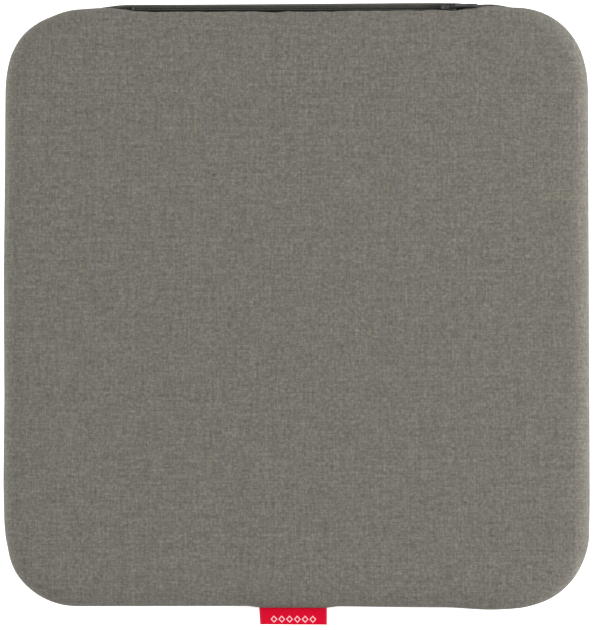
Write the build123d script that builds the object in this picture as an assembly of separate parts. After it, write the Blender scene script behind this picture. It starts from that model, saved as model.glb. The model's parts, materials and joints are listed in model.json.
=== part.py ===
from build123d import *
import math
import os

# A zipped, padded heat-press mat. Millimetres, +Z up, origin at the centre of the flat underside.
# The zip runs along the back edge (+Y); the woven tag stands out of the front edge (-Y).

# ---- cover ----
WIDTH = 305.0            # left to right, X
DEPTH = 312.0            # front to back, Y
THICK = 14.0             # underside to work face
CORNER_R = 38.0          # plan corner radius
SEAM_Z = 6.5             # height of the seam that joins the two panels
ROLL_TOP = 13.0          # width of the rounded edge above the seam
ROLL_LOW = 8.0           # width of the rounded edge below the seam
FABRIC = 0.7             # cover cloth
ALLOWANCE = 3.8          # seam allowance turned inwards from the seam
FRONT_Y = -DEPTH / 2
BACK_Y = DEPTH / 2

# ---- insert, from the underside up ----
INSERT_EDGE = 5.6        # from the outline to the cut edge of the insert
INSERT_GAP = 0.2         # between the cover cloth and the insert
SCRIM = 0.3
LOWER_FELT = 1.9
FOAM = 7.3
FOIL = 0.3

# ---- zip ----
ZIP_LEFT = -99.0         # left end of the opening in the cover
ZIP_FULL = -86.0         # where the opening reaches its full height
ZIP_RIGHT = 96.0         # right end of the opening, under the garage
ZIP_TILT = 28.0          # degrees from upright, facing back and up
CHAIN_IN = 1.4           # chain centre, inwards from the outline
CHAIN_Z = 6.9            # chain centre height
LIP_TOP_Z = 10.3         # folded edge of the top panel above the chain
LIP_LOW_Z = 2.0          # where the bottom panel turns out into its lip
LIP_DROP_Z = 8.0         # folded edge where it comes down to the garage
LIP_DROP_X = 84.0
LIP_SECTION = (          # bottom panel's folded lip: (inwards from the back outline, height)
    (3.3, 1.25), (-0.6, 2.3), (-1.9, 3.4), (-2.1, 4.3), (-1.7, 4.85), (-1.0, 4.75), (-0.5, 3.9), (0.1, 2.5),
    (3.5, LIP_LOW_Z),
)
HEM_DEEP = 8.0           # how far in the top panel's turned hem reaches
HEM_TOP_Z = 12.0

TAPE = 0.4
TAPE_N = -1.0            # middle of the tape from the chain plane
TAPE_EDGE = 0.65         # chain centre line to the tape's edge
TAPE_END = 0.5           # tape stops this far inside each end of the opening
UPPER_FLAT = 4.1         # from the chain centre line to where the upper tape turns in
UPPER_TURN = ((6.3, 11.15), (8.5, 11.85))
LOWER_FLAT = 3.9         # the same on the lower tape
LOWER_TURN = ((3.6, 2.5), (5.3, 1.7))

COIL_HALF = 2.0          # half the width of the closed chain
COIL_HOOK = 0.3          # how far each loop reaches past the centre line
COIL_SPINE = 0.7         # turned back of the coil, along the tape
COIL_LOW_N = -0.8
COIL_HIGH_N = 0.8
PITCH = 1.2              # one loop to the next on one side
UPPER_PHASE = 0.0        # each side's first loop, in pitches
LOWER_PHASE = 0.5
LOOP = 0.52              # width of a loop along the zip
PART_SHIFT = 0.6         # how far the sides part inside the slider
PART_TIP = 0.75          # tips of the parted loops, from the centre line

# ---- slider and pull tab, in the zip's plane ----
SLIDER_X = 79.35         # centre of the slider with the zip closed
SLIDER_LONG = 7.9
SLIDER_REAR = 2.6        # half width at the closed-chain end
SLIDER_FRONT = 3.05      # half width at the mouth
SLIDER_RAIL = 0.35
WAIST_X = -0.6           # where the slider starts to widen, from its centre
SHOULDER_X = 1.0         # where the slider reaches its full width, from its centre
PLATE = 0.7
PLATE_ROUND = 0.6
PLATE_TOP_N = 1.8
PLATE_LOW_N = -2.2
RAIL_LOW_N = -0.5
POST_X = 2.7             # divider post, from the slider's centre
POST_LONG = 1.0          # half its length along the zip
POST_HALF = 0.5
BRIDGE_REAR = -1.8
BRIDGE_FRONT = 2.2
BRIDGE_HALF = 0.8
BRIDGE_RISE = 2.0
BRIDGE_BAR = 0.7
BRIDGE_ROUND = 0.8
TAB_AXIS_X = 0.7
TAB_AXIS_N = 2.55
TAB_THICK = 1.0
TAB_LONG = 15.0
TAB_HALF = 2.1
TAB_EYE_HALF = 1.1
TAB_EYE_END = 2.75
TAB_ROUND = 0.9
TAB_SLOT_LONG = 3.0
TAB_SLOT_WIDE = 1.6
TAB_SLOT_IN = 2.4        # from the tab's tip to the middle of its slot

STOP_LONG = 1.6
STOP_HALF = 2.5
STOP_LOW_N = -1.6
STOP_HIGH_N = 1.0
STOP_GAP = 0.25
BOTTOM_STOP_X = -84.8    # centre of the bottom stop
TOP_STOP_X = SLIDER_X + SLIDER_LONG / 2 + 1.1

GARAGE_X = 104.2         # the fabric swelling over the zip's right end
GARAGE_HALF = 8.4
GARAGE_PROUD = 1.5
GARAGE_ROUND = 3.0
GARAGE_Z = 7.5
GARAGE_REACH = 8.0       # how far the swelling is kept on each side of the back outline

# ---- woven tag ----
TAG_X = -1.7
TAG_WIDE = 35.4
TAG_OUT = 9.7            # from the outline to the folded tip
TAG_PLY = 0.4
TAG_GAP = 0.1
TAG_TAIL = 3.4           # length caught in the seam

# ---- thread ----
THREAD = 0.3
STITCH = 2.2
STITCH_PITCH = 3.0
SEAM_LINE = 2.6          # from the outline to the seam's thread
TAG_LINE = 3.5           # from the outline to the stitches over the tag's tail
ZIP_STITCH_UP = 3.35     # from the chain centre line to each row of zip stitches
ZIP_STITCH_END = 4.0     # each row starts this far inside the opening's end
TACK_LONG = 1.5
TACK_HALF = 2.2
TACK_THICK = 0.5
TACK_IN = 2.0            # from the opening's end to the middle of a bar tack

RELIEF = 2.3             # from the outside to the insert, behind the zip
RELIEF_DEEP = 9.5        # how far in from the back outline that thinner part reaches
OVER = 1.0               # cutting shapes reach this far past what they cut
BIG = 400.0              # larger than the mat


def half_profile(reach, inset):
    """Right half of the mat's section, from its middle out to `reach`, parallel to the outside by `inset`."""
    low, high = inset, THICK - inset
    foot = (reach - ROLL_LOW, low)
    shoulder = (reach - ROLL_TOP, high)
    edge = Line((0, low), foot)
    edge += EllipticalCenterArc((foot[0], SEAM_Z), ROLL_LOW - inset, SEAM_Z - inset, 270)
    edge += EllipticalCenterArc((shoulder[0], SEAM_Z), ROLL_TOP - inset, THICK - SEAM_Z - inset, 0)
    edge += Line(shoulder, (0, high))
    edge += Line((0, high), (0, low))
    return make_face(edge)


def mat_body(inset):
    """The whole mat as a solid, parallel to its outside by `inset`."""
    corner = revolve(Plane.XZ * half_profile(CORNER_R, inset), Axis.Z, 360)
    side = half_profile(WIDTH / 2, inset)
    end = half_profile(DEPTH / 2, inset)
    body = extrude(Plane.XZ * (side + mirror(side, Plane.YZ)), DEPTH / 2 - CORNER_R, both=True)
    body += extrude(Plane.YZ * (end + mirror(end, Plane.YZ)), WIDTH / 2 - CORNER_R, both=True)
    for centre in GridLocations(WIDTH - 2 * CORNER_R, DEPTH - 2 * CORNER_R, 2, 2):
        body += centre * corner
    return body


def plan(inset):
    """Plan outline, moved inwards by `inset`."""
    return RectangleRounded(WIDTH - 2 * inset, DEPTH - 2 * inset, CORNER_R - inset)


def slab(face, low, high):
    """A face on the ground plane, raised to fill from `low` to `high`."""
    return Pos(0, 0, low) * extrude(face, high - low)


def block(x_low, x_high, y_low, y_high, z_low, z_high):
    """A box from its limits."""
    size = (x_high - x_low, y_high - y_low, z_high - z_low)
    middle = ((x_low + x_high) / 2, (y_low + y_high) / 2, (z_low + z_high) / 2)
    return Pos(*middle) * Box(*size)


# The zip's plane: x along the zip, y down and outwards across it, z out of the mat.
TILT = math.radians(ZIP_TILT)
ZIP_PLANE = Plane(
    origin=(0, BACK_Y - CHAIN_IN, CHAIN_Z),
    x_dir=(1, 0, 0),
    z_dir=(0, math.cos(TILT), math.sin(TILT)),
)
UPPER, LOWER = -1, 1


def across(side, distance, normal):
    """Section point (y, z): `distance` to one side of the chain centre, `normal` out of the plane."""
    away = -side * distance
    y = BACK_Y - CHAIN_IN - away * math.sin(TILT) + normal * math.cos(TILT)
    z = CHAIN_Z + away * math.cos(TILT) + normal * math.sin(TILT)
    return (y, z)


def back(inwards, height):
    """Section point (y, z) measured inwards from the back outline."""
    return (BACK_Y - inwards, height)


def along_zip(face, x_low, x_high):
    """A section in the YZ plane, drawn out along X."""
    return Pos(x_low, 0, 0) * extrude(Plane.YZ * face, x_high - x_low)


def zip_opening():
    """Space that the opening takes out of the top panel's wall."""
    outline = Polyline(
        (ZIP_LEFT, SEAM_Z - OVER),
        (ZIP_LEFT, SEAM_Z + 2 * FABRIC),
        (ZIP_FULL, LIP_TOP_Z),
        (LIP_DROP_X, LIP_TOP_Z),
        (ZIP_RIGHT, LIP_DROP_Z),
        (ZIP_RIGHT, SEAM_Z - OVER),
        close=True,
    )
    return Pos(0, BACK_Y + INSERT_EDGE, 0) * extrude(Plane.XZ * make_face(outline), 2 * INSERT_EDGE)


def seam_flange(low, high):
    """Seam allowance, turned inwards all round between the panels."""
    return slab(plan(FABRIC / 2) - plan(FABRIC + ALLOWANCE), low, high)


def tag_tail_space():
    """Room in the seam for the tag's two tails."""
    return block(
        TAG_X - TAG_WIDE / 2, TAG_X + TAG_WIDE / 2,
        FRONT_Y - OVER, FRONT_Y + TAG_TAIL,
        SEAM_Z - TAG_GAP / 2 - TAG_PLY, SEAM_Z + TAG_GAP / 2 + TAG_PLY,
    )


def top_panel(outside, lining, hem_lining):
    """Top cloth with its rolled edge, seam allowance, turned hem over the zip, and garage."""
    shell = (outside - lining) & block(-BIG, BIG, -BIG, BIG, SEAM_Z, THICK)
    shell += seam_flange(SEAM_Z, SEAM_Z + FABRIC)
    shell -= zip_opening()
    hem_space = block(ZIP_FULL, LIP_DROP_X, BACK_Y - HEM_DEEP, BACK_Y, LIP_TOP_Z, HEM_TOP_Z)
    shell += (lining - hem_lining) & hem_space
    arc = EllipticalCenterArc((0, 0), GARAGE_HALF, GARAGE_ROUND, 0, arc_size=180)
    swelling = revolve(make_face(arc + Line((-GARAGE_HALF, 0), (GARAGE_HALF, 0))), Axis.X, 360)
    swelling = Pos(GARAGE_X, BACK_Y + GARAGE_PROUD - GARAGE_ROUND, GARAGE_Z) * swelling
    swelling &= block(
        ZIP_RIGHT, GARAGE_X + GARAGE_HALF, BACK_Y - GARAGE_REACH, BACK_Y + GARAGE_REACH, SEAM_Z, THICK,
    )
    shell += swelling - lining
    return shell - tag_tail_space()


def lower_lip():
    """Bottom panel's folded edge, which stands out under the chain."""
    outline = [back(inwards, height) for inwards, height in LIP_SECTION]
    return along_zip(make_face(Polyline(*outline, close=True)), ZIP_LEFT, ZIP_RIGHT)


def bottom_panel(outside, lining):
    """Bottom cloth with its rolled edge, seam allowance and the lip under the zip."""
    shell = (outside - lining) & block(-BIG, BIG, -BIG, BIG, 0, SEAM_Z)
    shell += seam_flange(SEAM_Z - FABRIC, SEAM_Z)
    shell -= block(ZIP_LEFT, ZIP_RIGHT, BACK_Y - INSERT_EDGE, BACK_Y + OVER, LIP_LOW_Z, SEAM_Z + OVER)
    return shell + lower_lip() - tag_tail_space()


def seam_thread():
    """Needle and bobbin threads of the seam, one on each side of the allowance."""
    ring = plan(SEAM_LINE) - plan(SEAM_LINE + THREAD)
    threads = slab(ring, SEAM_Z + FABRIC, SEAM_Z + FABRIC + THREAD)
    threads += slab(ring, SEAM_Z - FABRIC - THREAD, SEAM_Z - FABRIC)
    return threads - block(ZIP_LEFT, ZIP_RIGHT, 0, BACK_Y, 0, THICK)


def side_tag():
    """Folded ribbon: two plies, joined by the fold at the tip, with their tails in the seam."""
    tip_r = TAG_PLY + TAG_GAP / 2
    tip_y = FRONT_Y - TAG_OUT + tip_r
    tail_y = FRONT_Y + TAG_TAIL
    section = Pos(tip_y, SEAM_Z) * Circle(tip_r)
    section += Pos((tip_y + tail_y) / 2, SEAM_Z) * Rectangle(tail_y - tip_y, 2 * tip_r)
    hollow = Pos(tip_y, SEAM_Z) * Circle(TAG_GAP / 2)
    hollow += Pos((tip_y + tail_y) / 2, SEAM_Z) * Rectangle(tail_y - tip_y, TAG_GAP)
    return along_zip(section - hollow, TAG_X - TAG_WIDE / 2, TAG_X + TAG_WIDE / 2)


def stitch_row(x_low, x_high, y, z):
    """A row of stitches along X, lying on the surface at height z."""
    count = int((x_high - x_low) / STITCH_PITCH)
    start = (x_low + x_high - (count - 1) * STITCH_PITCH) / 2
    stitches = [
        Pos(start + i * STITCH_PITCH, y, z) * Box(STITCH, THREAD, THREAD) for i in range(count)
    ]
    return Compound(children=stitches)


def tag_stitches():
    """Second row of stitches over the tag's tail, behind the seam's own thread."""
    x_low, x_high = TAG_X - TAG_WIDE / 2, TAG_X + TAG_WIDE / 2
    upper = stitch_row(x_low, x_high, FRONT_Y + TAG_LINE, SEAM_Z + FABRIC + THREAD / 2)
    lower = stitch_row(x_low, x_high, FRONT_Y + TAG_LINE, SEAM_Z - FABRIC - THREAD / 2)
    return Compound(children=[*upper.children, *lower.children])


def zip_tape(side, flat, turn):
    """Woven tape: flat beside the chain, then following `turn` along the inside of the cover."""
    centre = Polyline(
        across(side, TAPE_EDGE, TAPE_N),
        across(side, flat, TAPE_N),
        *[back(inwards, height) for inwards, height in turn],
    )
    return along_zip(trace(centre, TAPE), ZIP_LEFT + TAPE_END, ZIP_RIGHT - TAPE_END)


def zip_coil(side, phase):
    """One side of the chain: a spine with loops that interlock, parted inside the slider's mouth."""
    x_low = BOTTOM_STOP_X + STOP_LONG / 2
    x_part = SLIDER_X + SHOULDER_X + LOOP
    x_high = TOP_STOP_X - STOP_LONG / 2
    outline = [(x_low, side * COIL_HALF), (x_low, side * (COIL_HALF - COIL_SPINE))]
    first = x_low + PITCH / 2 + phase * PITCH
    for i in range(int((x_part - first) / PITCH)):
        x = first + i * PITCH
        root, tip = side * (COIL_HALF - COIL_SPINE), -side * COIL_HOOK
        outline += [(x - LOOP / 2, root), (x - LOOP / 2, tip), (x + LOOP / 2, tip), (x + LOOP / 2, root)]
    outline += [(x_part, side * (COIL_HALF - COIL_SPINE)), (x_part, side * COIL_HALF)]
    half = make_face(Polyline(*outline, close=True))
    spine_low = COIL_HALF + PART_SHIFT - COIL_SPINE
    parted = [(x_part - LOOP, side * spine_low), (x_part - LOOP, side * (spine_low + COIL_SPINE))]
    parted += [(x_high, side * (spine_low + COIL_SPINE)), (x_high, side * spine_low)]
    half += make_face(Polyline(*parted, close=True))
    for i in range(int((x_high - x_part) / PITCH)):
        reach = spine_low - PART_TIP
        middle = Pos(x_part + (i + 0.5) * PITCH, side * (PART_TIP + reach / 2))
        half += middle * Rectangle(LOOP, reach + LOOP / 2)
    return ZIP_PLANE * Pos(0, 0, COIL_LOW_N) * extrude(half, COIL_HIGH_N - COIL_LOW_N)


def slider_plan(narrower):
    """Slider's plan, wider at the mouth; `narrower` leaves the channel between the rails."""
    rear, front = SLIDER_REAR - narrower, SLIDER_FRONT - narrower
    half = SLIDER_LONG / 2
    outline = [(-half, -rear), (WAIST_X, -rear), (SHOULDER_X, -front), (half, -front)]
    outline += [(x, -y) for x, y in reversed(outline)]
    return make_face(Polyline(*outline, close=True))


def zip_slider():
    """Two plates joined by the divider post, with side rails and the bridge that holds the tab."""
    plate = fillet(slider_plan(0).vertices(), PLATE_ROUND)
    body = Pos(0, 0, PLATE_TOP_N - PLATE) * extrude(plate, PLATE)
    body += Pos(0, 0, PLATE_LOW_N) * extrude(plate, PLATE)
    rail_height = PLATE_TOP_N - PLATE - RAIL_LOW_N
    rails = plate - slider_plan(SLIDER_RAIL)
    body += Pos(0, 0, RAIL_LOW_N) * extrude(rails, rail_height)
    post = extrude(Ellipse(POST_LONG, POST_HALF), PLATE_TOP_N - PLATE_LOW_N)
    body += Pos(POST_X, 0, PLATE_LOW_N) * post
    bridge_long = BRIDGE_FRONT - BRIDGE_REAR
    bridge_x = (BRIDGE_FRONT + BRIDGE_REAR) / 2
    arch = RectangleRounded(bridge_long, BRIDGE_RISE + BRIDGE_ROUND, BRIDGE_ROUND)
    arch = Pos(bridge_x, BRIDGE_RISE / 2) * arch
    arch &= Pos(bridge_x, BRIDGE_RISE) * Rectangle(bridge_long, 2 * BRIDGE_RISE)
    arch -= Pos(bridge_x, (BRIDGE_RISE - BRIDGE_BAR) / 2) * Rectangle(
        bridge_long - 2 * BRIDGE_BAR, BRIDGE_RISE - BRIDGE_BAR
    )
    bridge = extrude(Plane.XZ * arch, BRIDGE_HALF, both=True)
    body += Pos(0, 0, PLATE_TOP_N) * bridge
    return ZIP_PLANE * Pos(SLIDER_X, 0, 0) * body


def zip_pull_tab():
    """Flat tab with an eye; its cross bar passes under the slider's bridge."""
    tongue_long = TAB_LONG - TAB_AXIS_X
    tongue = RectangleRounded(tongue_long + OVER, 2 * TAB_HALF, TAB_ROUND)
    tongue = Pos(tongue_long / 2, 0) * tongue
    tongue -= Pos(TAB_EYE_END / 2, 0) * Rectangle(TAB_EYE_END, 2 * TAB_EYE_HALF)
    tongue &= Pos(BIG / 2, 0) * Rectangle(BIG, BIG)
    slot = Pos(tongue_long - TAB_SLOT_IN, 0) * SlotOverall(TAB_SLOT_LONG, TAB_SLOT_WIDE)
    tab = Pos(0, 0, -TAB_THICK / 2) * extrude(tongue - slot, TAB_THICK)
    tab += Rot(90, 0, 0) * extrude(Circle(TAB_THICK / 2), TAB_HALF, both=True)
    return ZIP_PLANE * Pos(SLIDER_X + TAB_AXIS_X, 0, TAB_AXIS_N) * tab


def stop_clip(x, y_low, y_high, tapes):
    """A metal clip closed round the edge of the tapes."""
    clip = ZIP_PLANE * block(x - STOP_LONG / 2, x + STOP_LONG / 2, y_low, y_high, STOP_LOW_N, STOP_HIGH_N)
    for tape in tapes:
        clip -= tape
    return clip


def zip_stitches(side):
    """Row of stitches behind the tape, which holds it to the panel's fold."""
    height = TAPE_N - TAPE / 2 - THREAD / 2
    row = stitch_row(ZIP_LEFT + ZIP_STITCH_END, ZIP_RIGHT - ZIP_STITCH_END, side * ZIP_STITCH_UP, height)
    return Compound(children=[ZIP_PLANE * stitch for stitch in row.children])


def zip_end_tack(x):
    """Bar tack across both tapes at one end of the zip."""
    low = TAPE_N + TAPE / 2
    tack = block(x - TACK_LONG / 2, x + TACK_LONG / 2, -TACK_HALF, TACK_HALF, low, low + TACK_THICK)
    return ZIP_PLANE * tack


def insert_layers(outside):
    """The insert's layers, cut from one envelope and stacked from the underside up."""
    envelope = mat_body(FABRIC + INSERT_GAP)
    zip_zone = block(ZIP_LEFT - OVER, ZIP_RIGHT + OVER, BACK_Y - RELIEF_DEEP, BACK_Y, 0, THICK)
    envelope -= zip_zone & (outside - mat_body(RELIEF))
    envelope &= slab(plan(INSERT_EDGE), 0, THICK)
    layers = {}
    low = FABRIC + INSERT_GAP
    stack = [("base_scrim", SCRIM), ("lower_felt", LOWER_FELT), ("foam_core", FOAM), ("heat_foil", FOIL)]
    stack.append(("upper_felt", THICK - 2 * low - sum(thick for name, thick in stack)))
    for name, thick in stack:
        layers[name] = envelope & block(-BIG, BIG, -BIG, BIG, low, low + thick)
        low += thick
    return layers


def build():
    """Every node's shape, by name."""
    outside = mat_body(0)
    lining = mat_body(FABRIC)
    hem_lining = mat_body(2 * FABRIC)
    tape_upper = zip_tape(UPPER, UPPER_FLAT, UPPER_TURN)
    tape_lower = zip_tape(LOWER, LOWER_FLAT, LOWER_TURN)
    tapes = [tape_upper, tape_lower]
    top_stops = [
        stop_clip(TOP_STOP_X, STOP_GAP, STOP_HALF, tapes),
        stop_clip(TOP_STOP_X, -STOP_HALF, -STOP_GAP, tapes),
    ]
    tacks = [zip_end_tack(ZIP_LEFT + TACK_IN), zip_end_tack(ZIP_RIGHT - TACK_IN)]
    nodes = {
        "top_panel": top_panel(outside, lining, hem_lining),
        "bottom_panel": bottom_panel(outside, lining),
        "seam_thread": seam_thread(),
        "side_tag": side_tag(),
        "tag_stitches": tag_stitches(),
        "zip_tape_upper": tape_upper,
        "zip_tape_lower": tape_lower,
        "zip_coil_upper": zip_coil(UPPER, UPPER_PHASE),
        "zip_coil_lower": zip_coil(LOWER, LOWER_PHASE),
        "zip_stitches_upper": zip_stitches(UPPER),
        "zip_stitches_lower": zip_stitches(LOWER),
        "zip_end_tacks": Compound(children=tacks),
        "zip_top_stops": Compound(children=top_stops),
        "zip_bottom_stop": stop_clip(BOTTOM_STOP_X, -STOP_HALF, STOP_HALF, tapes),
        "zip_slider": zip_slider(),
        "zip_pull_tab": zip_pull_tab(),
    }
    nodes.update(insert_layers(outside))
    return nodes


os.makedirs("parts", exist_ok=True)
for name, shape in build().items():
    export_step(shape, f"parts/{name}.step")
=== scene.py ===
import json
import math

import bmesh
import bpy
import numpy as np
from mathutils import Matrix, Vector, geometry


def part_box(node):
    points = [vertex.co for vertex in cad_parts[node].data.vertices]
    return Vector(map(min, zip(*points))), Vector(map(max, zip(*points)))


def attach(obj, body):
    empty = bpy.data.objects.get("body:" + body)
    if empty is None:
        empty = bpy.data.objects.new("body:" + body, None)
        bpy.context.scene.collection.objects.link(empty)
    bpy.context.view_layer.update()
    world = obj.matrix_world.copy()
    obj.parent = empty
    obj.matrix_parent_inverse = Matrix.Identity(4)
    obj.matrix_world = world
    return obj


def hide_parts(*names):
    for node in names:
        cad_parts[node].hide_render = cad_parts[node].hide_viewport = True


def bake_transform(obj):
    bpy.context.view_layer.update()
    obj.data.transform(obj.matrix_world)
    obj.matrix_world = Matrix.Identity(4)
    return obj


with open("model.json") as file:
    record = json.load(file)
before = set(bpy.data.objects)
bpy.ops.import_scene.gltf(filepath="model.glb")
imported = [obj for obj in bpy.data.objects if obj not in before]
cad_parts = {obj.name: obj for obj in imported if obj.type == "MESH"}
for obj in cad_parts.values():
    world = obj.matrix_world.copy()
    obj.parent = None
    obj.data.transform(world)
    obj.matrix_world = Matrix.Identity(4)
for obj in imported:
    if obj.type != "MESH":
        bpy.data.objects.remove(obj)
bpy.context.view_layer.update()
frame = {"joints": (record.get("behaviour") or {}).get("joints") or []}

MM = 0.001
JOINTS = {joint["name"]: joint for joint in frame["joints"]}

# ---- sizes read from the frame, in millimetres ----
PANEL_LOW, PANEL_HIGH = (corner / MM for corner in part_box("bottom_panel"))
WIDTH = PANEL_HIGH.x - PANEL_LOW.x
DEPTH = -2 * PANEL_LOW.y
SEAM_Z = PANEL_HIGH.z
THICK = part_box("top_panel")[1].z / MM
TAG_LOW, TAG_HIGH = (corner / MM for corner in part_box("side_tag"))
TAG_X = (TAG_LOW.x + TAG_HIGH.x) / 2
TAG_HALF = (TAG_HIGH.x - TAG_LOW.x) / 2
BACK_Y = DEPTH / 2
FRONT_Y = -DEPTH / 2
TAPE_LOW, TAPE_HIGH = (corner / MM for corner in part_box("zip_tape_upper"))
SLIDER_X = sum(corner.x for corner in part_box("zip_slider")) / 2 / MM
COIL_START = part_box("zip_coil_upper")[0].x / MM
COIL_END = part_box("zip_coil_upper")[1].x / MM

# ---- the cover, in millimetres ----
CORNER_R = 38.0
ROLL_TOP = 13.0          # width of the rounded edge above the seam
ROLL_LOW = 8.0           # and below it
CLOTH = 0.6              # thickness of the cover cloth
COLUMN = 2.0             # spacing of the mesh round the edge
GRID = 4.0               # spacing of the mesh over the flat faces
GRID_EDGE = 0.6          # clear space between that mesh and the edge's, in grid steps
ROLL_ROWS = 12
FOLD_ROWS = 6
FOLD_R = 0.6
RETURN_LONG = 3.0        # turned-in hem beyond the fold
RETURN_ROWS = 3
SEAM_TURN = 0.95         # height above or below the seam where the cloth turns in
LIP_Z = 11.35            # fold of the top panel over the zip, at its left end
LIP_FALL = 0.9           # how much lower it is at the right end
LIP_FALL_X = (0, 75)     # where it falls
LIP_LIFT = 0.3           # lifted over the slider
LIP_LIFT_X = (82, 14)    # place and half width
LIP_LEFT_DROP = 0.12     # pressed a little lower on the left
LIP_LEFT_X = (60, 20)
LIP_WAVE = 0.16          # the fold's unevenness in height
LIP_WANDER = 0.24        # and in depth
TOP_SEAM_TURN, TOP_LIP_TURN = 92, 88     # degrees that the cloth turns at the seam; more at the fold
LOW_SEAM_TURN, LOW_LIP_TURN = 90, 85
LOW_LIP_Z = 3.7          # fold of the bottom panel under the zip, at its left end
LOW_LIP_RISE = 0.4       # how much higher it is at the right end
LOW_LIP_RISE_X = (-60, 60)
LOW_LIP_CURVE = ((ROLL_LOW, 0.0), (3.2, 0.0), (-1.0, 1.4))    # (inwards, height) of its control points
TOP_GARAGE, TOP_TAG = 0.8, 0.9           # how far the swellings stand out, above the seam
LOW_GARAGE, LOW_TAG = 0.2, 0.7           # and below it
GARAGE_X = (91, 99, 103.5, 114)          # where the swelling over the zip's end rises and falls
TAG_SWELL_OUT, TAG_SWELL_IN = 7, 2       # where the tag's swelling starts and is full, from its side edge

# How far the sewn edge stands out from its pattern, by distance round it from the middle of the front.
SEWN = (
    (0, 0.05), (75, 0.35),                               # front edge, right of the tag
    (160, 0.1), (190, 0.6), (330, 0.4), (405, 0.35),     # fuller right side
    (418, -0.45), (445, 0.2), (480, 0),                  # dip in the back right corner
    (685, 0), (699, -0.95), (713, -2.15),                # soft back left corner
    (733, -0.9), (754, -0.9), (763, -0.2),
    (810, 0), (860, 0.4), (925, -0.1), (968, 0.25),      # left side
    (988, -0.15), (1002, -1.35), (1016, -0.15),          # tuck in the front left corner
    (1055, 0.15), (1180, 0),
)
# How open each panel's edge is along the zip, by x: 0 is turned in at the seam, 1 is the full fold.
LIP_OPEN = (
    (-103, 0), (-96.7, 0.44), (-92.5, 0.56), (-89, 0.66), (-85.5, 0.94), (-81, 1),
    (84, 1), (87, 0.74), (90, 0.56), (96, 0.34), (105, 0),
)
LOW_LIP_OPEN = (
    (-104, 0), (-96.7, 0.52), (-92.5, 0.9), (-86, 1), (84, 1), (90.5, 0.72), (94, 0.60), (98, 0.62),
    (102.5, 0.68), (106.6, 0.52), (110.5, 0.22), (115, 0),
)
# How far the bottom panel's lip stands out beyond the outline, by x.
LOW_LIP_PROUD = (
    (-80, 1.75), (-57, 1.78), (-25, 1.95), (6, 2.16), (38, 2.38), (54, 2.52), (70, 2.6), (80, 2.55),
)
# How the whole cover lies: narrower towards the back by this share, and further forward along the front's
# right, most of all beside the corner, which is given by its place and half width.
BACK_NARROW, BACK_NARROW_Y = 0.0042, (-120, 150)
FRONT_SET_Y = (-132, -150)
FRONT_RIGHT, FRONT_RIGHT_X = 0.45, (0, 75)
FRONT_CORNER, FRONT_CORNER_X = 1.25, (102, 26)

# ---- the cloth simulation ----
SIM_SCALE = 10.0
SIM_FRAMES = 22
SIM_CAP = 0.7            # how far a point may move, in millimetres
START_UNEVEN = 0.12
SEAM_SLACK = 0.5         # slack from the seam on; beside it the slack grows towards 1
SIM_CLOTH = {
    "quality": 6, "mass": 0.3, "tension_stiffness": 20, "compression_stiffness": 20, "shear_stiffness": 8,
    "bending_stiffness": 0.15, "tension_damping": 8, "compression_damping": 8, "air_damping": 4,
    "vertex_group_mass": "hold", "pin_stiffness": 1.0, "shrink_min": 0.0, "shrink_max": -0.055,
    "vertex_group_shrink": "slack", "use_pressure": True, "uniform_pressure_force": 1.2,
}

# ---- the zip; places in its plane are (along, up across the chain, out) from the chain's middle ----
TAPE_END = 0.5           # the opening reaches this far beyond the tape
ZIP_LEFT = TAPE_LOW.x - TAPE_END
ZIP_RIGHT = TAPE_HIGH.x + TAPE_END
X_AXIS = Vector((1, 0, 0))
ZIP_UP = Vector(JOINTS["pull_tab_hinge"]["axis"])
ZIP_OUT = Vector((0, ZIP_UP.z, -ZIP_UP.y))
TAB_AXIS = Vector(JOINTS["pull_tab_hinge"]["pos_m"]) / MM
TAB_AXIS_OUT = 2.55
CHAIN = Vector((0, TAB_AXIS.y, TAB_AXIS.z)) - ZIP_OUT * TAB_AXIS_OUT

TAPE = 0.4
TAPE_OUT = -1.0
TAPE_EDGE = 0.65         # from the chain's middle to the tape's edge
TAPE_GAP = 0.05          # and where the tapes close up, with no coil between them
TAPE_CLOSES = (0.8, 1.5)         # how far beyond the coils' two ends that is
TAPE_UPPER = ((0.65, 2.2, 4.1), ((6.3, 11.1), (8.5, 11.8)))      # (up, ...), then ((inwards, z), ...)
TAPE_LOWER = ((-0.65, -2.2, -3.9), ((3.6, 2.5), (5.3, 1.75)))
TAPE_ACROSS, TAPE_ALONG = 0.5, 1.5       # mesh spacing
TAPE_FREE = 2.0          # width beside the chain that lies flat
TAPE_WAVE = 0.10

WIRE_R = 0.27
COIL_HALF = 2.0          # from the chain's middle to a coil's outer side
PITCH = 1.2
COIL_IN = 0.4            # first and last loop, from the coil's end
COIL_OUT = 0.5           # half the coil's thickness, to the wire's middle
COIL_PART = 0.85         # how far each side parts from the middle inside the slider
COIL_PART_X = (0.2, 2.2)         # and where, from the slider's middle
HEAD = 0.32              # how far each head reaches past the middle
# One loop: (along, in pitches; whether across is measured from the spine; across; out, in half thicknesses)
COIL_LOOP = (
    (0.00, True, -0.35, -1), (0.06, True, 0.0, -0.62), (0.08, True, 0.02, 0.3), (0.12, True, -0.4, 0.97),
    (0.28, False, 0.9, 1), (0.42, False, 0.15, 0.92), (0.50, False, -HEAD, 0.45), (0.54, False, -HEAD, -0.45),
    (0.62, False, 0.15, -0.92), (0.76, False, 0.9, -1),
)
BINDING = ((0.0, 0.88), (0.3, 0.80), (0.5, 0.62), (0.7, 0.80))   # chain stitch: (along, in pitches; out)
BINDING_UP, BINDING_R, BINDING_IN = 1.25, 0.11, 0.6

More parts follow.
